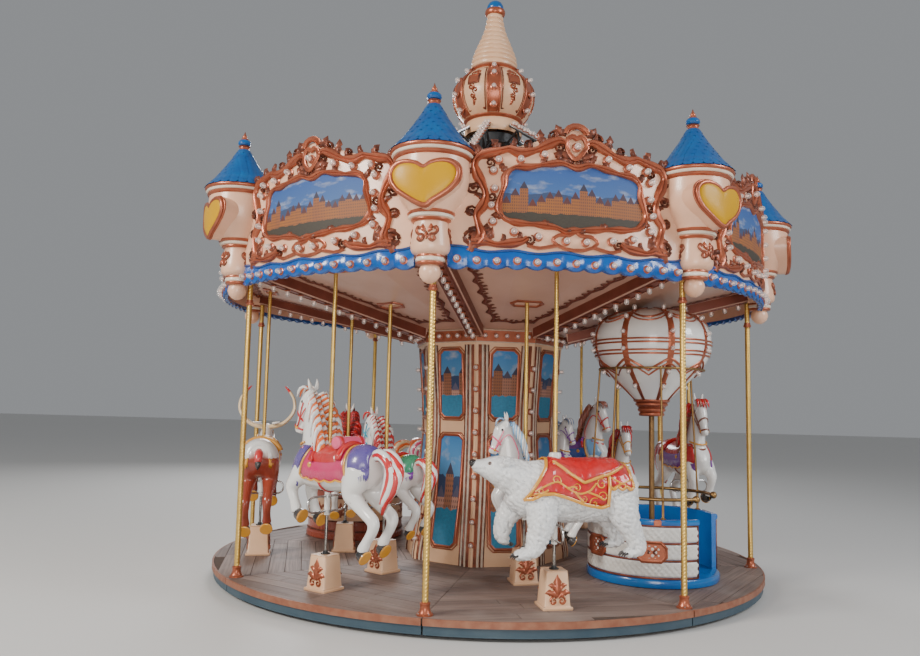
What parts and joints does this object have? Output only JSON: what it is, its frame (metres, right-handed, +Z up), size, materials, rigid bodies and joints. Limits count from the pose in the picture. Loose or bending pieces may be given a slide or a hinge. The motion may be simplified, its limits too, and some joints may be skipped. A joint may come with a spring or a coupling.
{
  "type": "fairground carousel",
  "caption": "Round fairground carousel with galloping animals on poles, a balloon car and a tub car under an eight-sided turreted canopy.",
  "frame": {"origin": "centre of the plinth's underside, on the floor", "axes": "+Z up along the axis that the deck turns on, -Y towards the first post and turret"},
  "size_m": [5.82, 5.82, 5.862],
  "materials": {
    "steel": "satin",
    "planks": "worn satin",
    "cream_moulding": "gloss",
    "gold_tube": "polished",
    "white_moulding": "gloss",
    "blue_moulding": "gloss",
    "copper_paint": "gloss",
    "tub_paint": "gloss"
  },
  "bodies": {
    "base": {"base_plinth": "steel"},
    "platform": {"deck": "planks", "centre_column": "cream_moulding", "ceiling": "cream_moulding", "crown_frame": "steel", "crown": "cream_moulding", "balloon_basket": "blue_moulding", "balloon_rail": "gold_tube", "balloon": "white_moulding", "tub_car": "tub_paint", "rounding_board_1": "cream_moulding", "turret_1": "cream_moulding", "post_1": "gold_tube", "rounding_board_2": "cream_moulding", "turret_2": "cream_moulding", "post_2": "gold_tube", "rounding_board_3": "cream_moulding", "turret_3": "cream_moulding", "post_3": "gold_tube", "rounding_board_4": "cream_moulding", "turret_4": "cream_moulding", "post_4": "gold_tube", "rounding_board_5": "cream_moulding", "turret_5": "cream_moulding", "post_5": "gold_tube", "rounding_board_6": "cream_moulding", "turret_6": "cream_moulding", "post_6": "gold_tube", "rounding_board_7": "cream_moulding", "turret_7": "cream_moulding", "post_7": "gold_tube", "rounding_board_8": "cream_moulding", "turret_8": "cream_moulding", "post_8": "gold_tube"},
    "horse_1_body": {"horse_1": "white_moulding"},
    "horse_2_body": {"horse_2": "white_moulding"},
    "bear_body": {"bear": "white_moulding"},
    "horse_3_body": {"horse_3": "white_moulding"},
    "horse_4_body": {"horse_4": "white_moulding"},
    "horse_5_body": {"horse_5": "white_moulding"},
    "horse_6_body": {"horse_6": "white_moulding"},
    "horse_7_body": {"horse_7": "white_moulding"},
    "horse_8_body": {"horse_8": "white_moulding"},
    "horse_9_body": {"horse_9": "white_moulding"},
    "elk_body": {"elk": "white_moulding"},
    "horse_10_body": {"horse_10": "white_moulding"}
  },
  "joints": [
    {"name": "platform_spin", "type": "hinge", "parent": "base", "child": "platform", "pos_m": [0, 0, 0], "axis": [0, 0, 1], "continuous": true},
    {"name": "horse_1_rise", "type": "slide", "parent": "platform", "child": "horse_1_body", "axis": [0, 0, 1], "range_m": [-0.16, 0.04]},
    {"name": "horse_2_rise", "type": "slide", "parent": "platform", "child": "horse_2_body", "axis": [0, 0, 1], "range_m": [-0.12, 0.08]},
    {"name": "bear_rise", "type": "slide", "parent": "platform", "child": "bear_body", "axis": [0, 0, 1], "range_m": [-0.04, 0.16]},
    {"name": "horse_3_rise", "type": "slide", "parent": "platform", "child": "horse_3_body", "axis": [0, 0, 1], "range_m": [-0.1, 0.1]},
    {"name": "horse_4_rise", "type": "slide", "parent": "platform", "child": "horse_4_body", "axis": [0, 0, 1], "range_m": [-0.16, 0.04]},
    {"name": "horse_5_rise", "type": "slide", "parent": "platform", "child": "horse_5_body", "axis": [0, 0, 1], "range_m": [-0.03, 0.17]},
    {"name": "horse_6_rise", "type": "slide", "parent": "platform", "child": "horse_6_body", "axis": [0, 0, 1], "range_m": [-0.13, 0.07]},
    {"name": "horse_7_rise", "type": "slide", "parent": "platform", "child": "horse_7_body", "axis": [0, 0, 1], "range_m": [-0.08, 0.12]},
    {"name": "horse_8_rise", "type": "slide", "parent": "platform", "child": "horse_8_body", "axis": [0, 0, 1], "range_m": [-0.06, 0.14]},
    {"name": "horse_9_rise", "type": "slide", "parent": "platform", "child": "horse_9_body", "axis": [0, 0, 1], "range_m": [-0.16, 0.04]},
    {"name": "elk_rise", "type": "slide", "parent": "platform", "child": "elk_body", "axis": [0, 0, 1], "range_m": [-0.13, 0.07]},
    {"name": "horse_10_rise", "type": "slide", "parent": "platform", "child": "horse_10_body", "axis": [0, 0, 1], "range_m": [-0.15, 0.05]}
  ]
}
